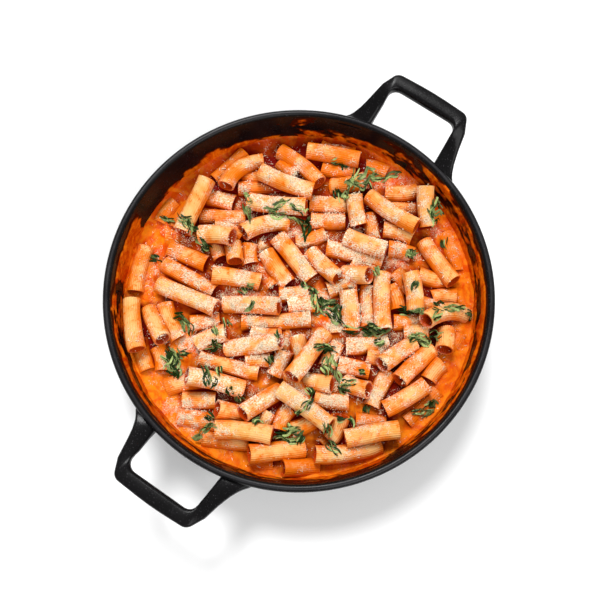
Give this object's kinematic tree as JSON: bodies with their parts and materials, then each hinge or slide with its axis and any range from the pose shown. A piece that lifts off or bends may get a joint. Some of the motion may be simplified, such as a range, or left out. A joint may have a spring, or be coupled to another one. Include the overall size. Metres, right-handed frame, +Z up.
{
  "type": "dish of pasta",
  "caption": "Shallow round cast-iron pan with two loop handles, filled with ridged tube pasta in creamy tomato sauce, grated cheese and shredded basil.",
  "frame": {"origin": "centre of the pan's base, on the surface that it stands on", "axes": "+X along the line through both handles, +Z up out of the pan"},
  "size_m": [0.3568, 0.28, 0.073],
  "materials": {
    "iron": "black matte enamel on cast iron, slightly rough, with a soft sheen along the rim",
    "sauce": "creamy tomato sauce, glossy and smooth",
    "pasta": "cooked ridged pasta under a thin coat of creamy tomato sauce, moist, with flecks of grated hard cheese",
    "basil": "fresh shredded basil, dark green with paler edges, lightly glossy"
  },
  "bodies": {
    "root": {"dish": "iron", "sauce": "sauce", "pasta": "pasta", "basil_north_east": "basil", "basil_under_north_east": "basil", "basil_north": "basil", "basil_north_west": "basil", "basil_middle": "basil", "basil_middle_right": "basil", "basil_west": "basil", "basil_inner_west": "basil", "basil_left_of_middle": "basil", "basil_under_middle": "basil", "basil_lower_middle": "basil", "basil_south": "basil", "basil_east": "basil", "basil_south_east": "basil", "basil_lower_left": "basil", "basil_south_west": "basil", "basil_upper_right": "basil", "basil_far_right": "basil", "basil_right_edge": "basil"}
  },
  "joints": []
}
